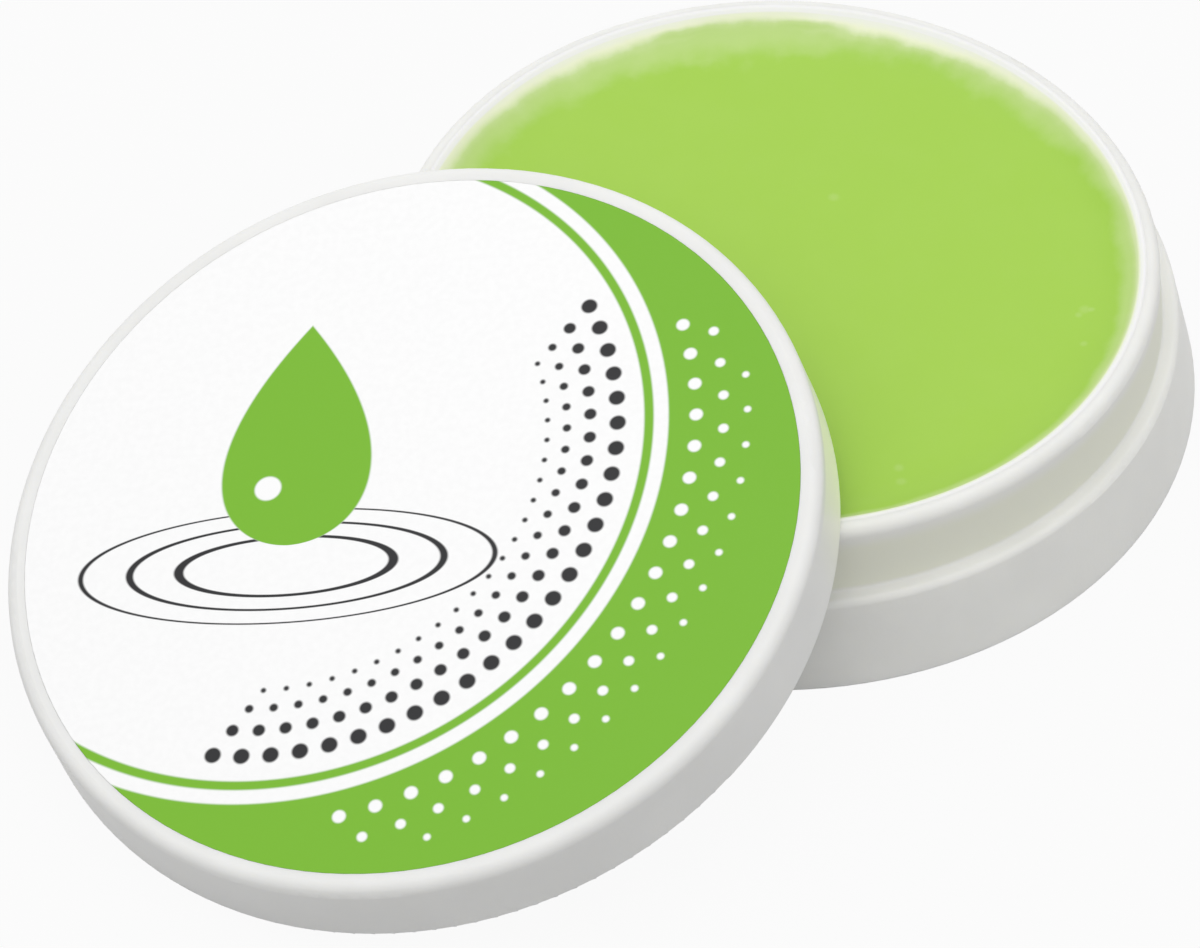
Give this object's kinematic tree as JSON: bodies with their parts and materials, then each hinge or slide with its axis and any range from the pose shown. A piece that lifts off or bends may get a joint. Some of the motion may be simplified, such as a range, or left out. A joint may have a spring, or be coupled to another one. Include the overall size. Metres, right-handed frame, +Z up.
{
  "type": "finger moistener",
  "caption": "Low round white plastic tub of soft green gel for moistening fingertips, with a flared base band and a press-on lid leaning open on its rim.",
  "frame": {"origin": "on the tub's axis, in the plane that its foot ring stands on", "axes": "+Z up along the tub's axis; the lid leans on the rim on the -X, -Y side, and -Y faces the camera of the picture"},
  "size_m": [0.0882, 0.0858, 0.0211],
  "materials": {
    "white_plastic": "satin moulded white polypropylene",
    "green_gel": "wet, slightly uneven light green cast gel",
    "label_print": "smooth coated white label with a plain green pattern"
  },
  "bodies": {
    "tub": {"tub": "white_plastic", "gel": "green_gel"},
    "lid": {"lid": "white_plastic", "lid_label": "label_print"}
  },
  "joints": [
    {"name": "lid_lift", "type": "slide", "parent": "tub", "child": "lid", "axis": [0, 0, 1], "range_m": [0, 0.045]}
  ]
}
